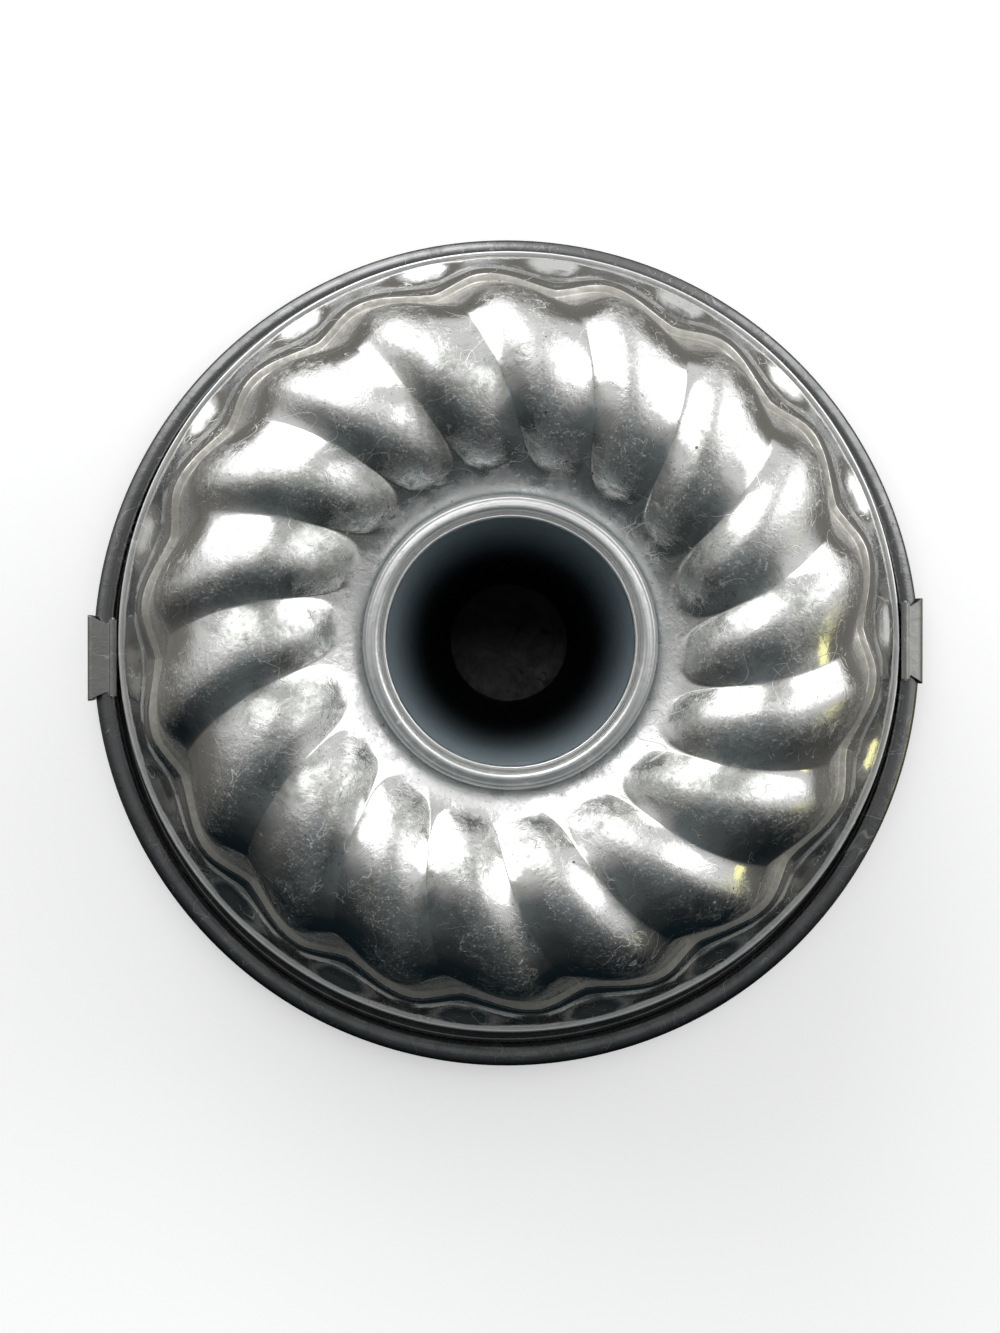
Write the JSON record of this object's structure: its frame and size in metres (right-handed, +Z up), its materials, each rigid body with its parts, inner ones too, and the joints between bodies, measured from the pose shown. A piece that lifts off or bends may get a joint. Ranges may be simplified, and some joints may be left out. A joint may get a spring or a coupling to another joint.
{
  "type": "steamed pudding mould",
  "caption": "Round tinplate steamed pudding mould with swirled flutes and an open centre tube, standing dome up on its lid, with rim clips and a folding wire handle under the lid.",
  "frame": {"origin": "centre of the lid's foot ring, on the surface it stands on", "axes": "+Z up along the lid's axis towards the dome, +X through the right clip, +Y away from the viewer's side of the picture"},
  "size_m": [0.1716, 0.17, 0.0954],
  "materials": {
    "bright_tin": "bright tinplate, worn and finely scratched",
    "tube_tin": "bright tinplate, duller inside the bore",
    "lid_tin": "tinplate, semi-gloss",
    "clip_tin": "satin tinplate",
    "steel_wire": "tinned steel wire",
    "rivet_tin": "tinned rivet"
  },
  "bodies": {
    "lid": {"lid_pan": "lid_tin", "lid_rim_wire": "steel_wire", "handle_saddle_left": "clip_tin", "handle_saddle_right": "clip_tin", "handle_rivet_1": "rivet_tin", "handle_rivet_2": "rivet_tin", "handle_rivet_3": "rivet_tin", "handle_rivet_4": "rivet_tin"},
    "mould": {"fluted_shell": "bright_tin", "centre_tube": "tube_tin"},
    "left_clip": {"clip_left": "clip_tin", "clip_rod_left": "steel_wire"},
    "right_clip": {"clip_right": "clip_tin", "clip_rod_right": "steel_wire"},
    "handle": {"bail_handle": "steel_wire"}
  },
  "joints": [
    {"name": "mould_lift", "type": "slide", "parent": "lid", "child": "mould", "axis": [0, 0, 1], "range_m": [0, 0.11]},
    {"name": "left_clip_swing", "type": "hinge", "parent": "lid", "child": "left_clip", "pos_m": [-0.0825, 0, 0.0044], "axis": [0, -1, 0], "range_deg": [0, 70]},
    {"name": "right_clip_swing", "type": "hinge", "parent": "lid", "child": "right_clip", "pos_m": [0.0825, 0, 0.0044], "axis": [0, 1, 0], "range_deg": [0, 38]},
    {"name": "handle_fold", "type": "hinge", "parent": "lid", "child": "handle", "pos_m": [0, 0.01, 0.0035], "axis": [1, 0, 0], "range_deg": [0, 173]}
  ]
}
